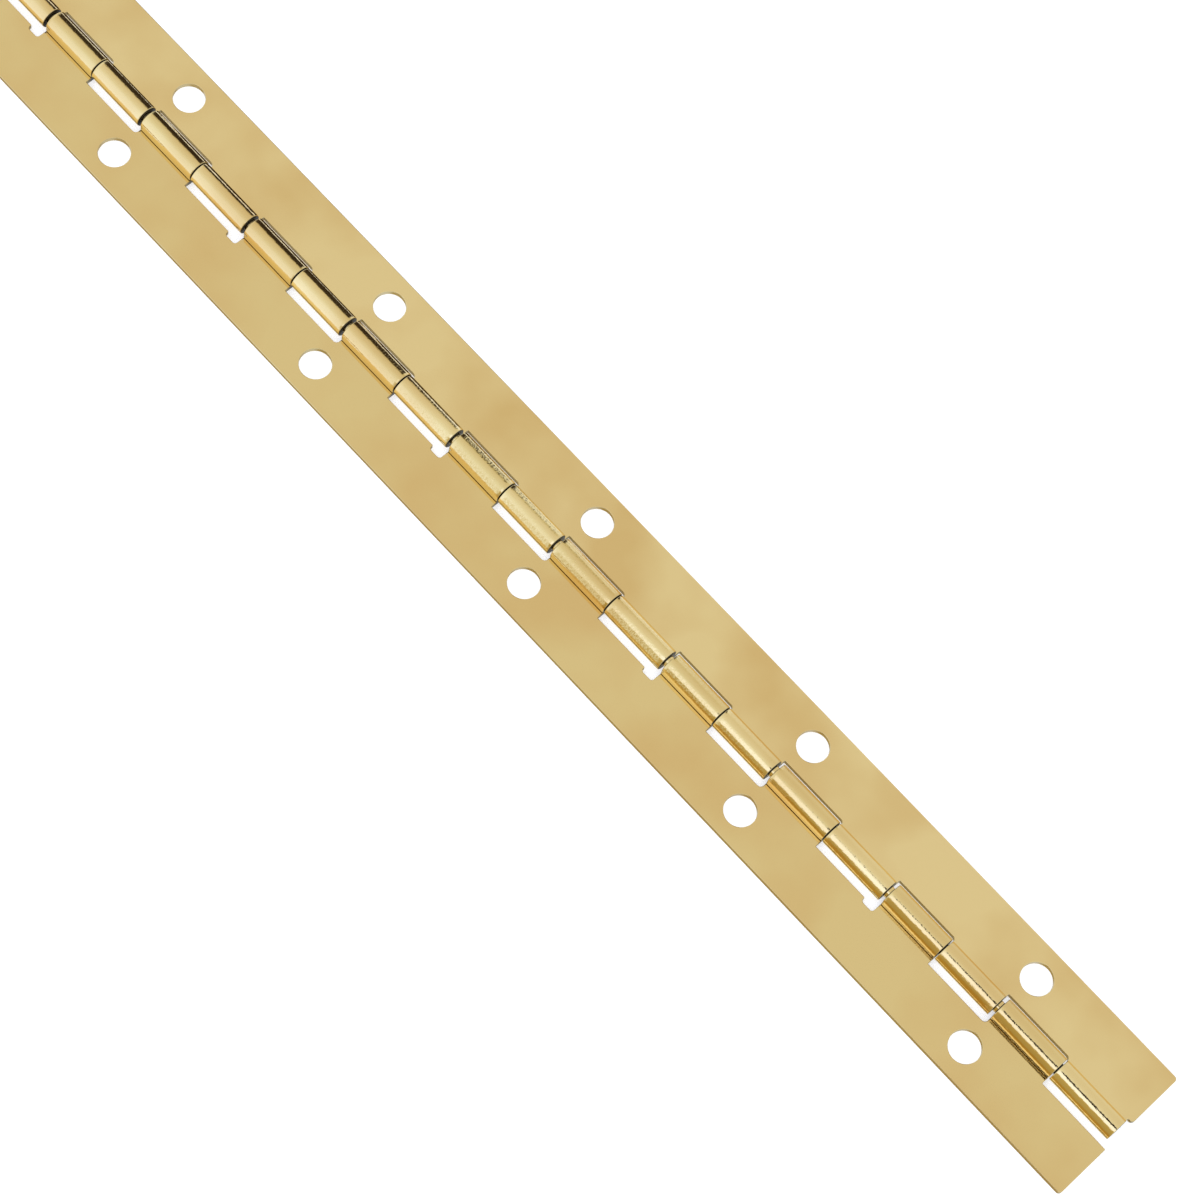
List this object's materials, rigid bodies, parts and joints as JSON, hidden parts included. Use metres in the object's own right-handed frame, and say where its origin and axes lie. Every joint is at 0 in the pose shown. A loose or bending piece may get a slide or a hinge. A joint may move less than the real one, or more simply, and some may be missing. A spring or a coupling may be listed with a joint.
{
  "type": "piano hinge",
  "caption": "Long narrow hinge of two stamped brass-plated leaves with rolled knuckles that turn on one wire pin, with plain screw holes along both leaves.",
  "frame": {"origin": "middle of the flat back of the open hinge, at the bottom centre of its box", "axes": "+X along the pin, +Y across to the door leaf, +Z out of the flat back towards the barrel"},
  "size_m": [0.306, 0.027, 0.0042],
  "materials": {
    "frame_leaf_plating": "bright brass plating on cold rolled steel sheet",
    "door_leaf_plating": "bright brass plating on cold rolled steel sheet",
    "pin_plating": "bright brass plating on drawn steel wire"
  },
  "bodies": {
    "frame_side": {"frame_leaf": "frame_leaf_plating", "hinge_pin": "pin_plating"},
    "door_side": {"door_leaf": "door_leaf_plating"}
  },
  "joints": [
    {"name": "leaf_swing", "type": "hinge", "parent": "frame_side", "child": "door_side", "pos_m": [0, 0, 0.0021], "axis": [1, 0, 0], "range_deg": [-105, 188]}
  ]
}
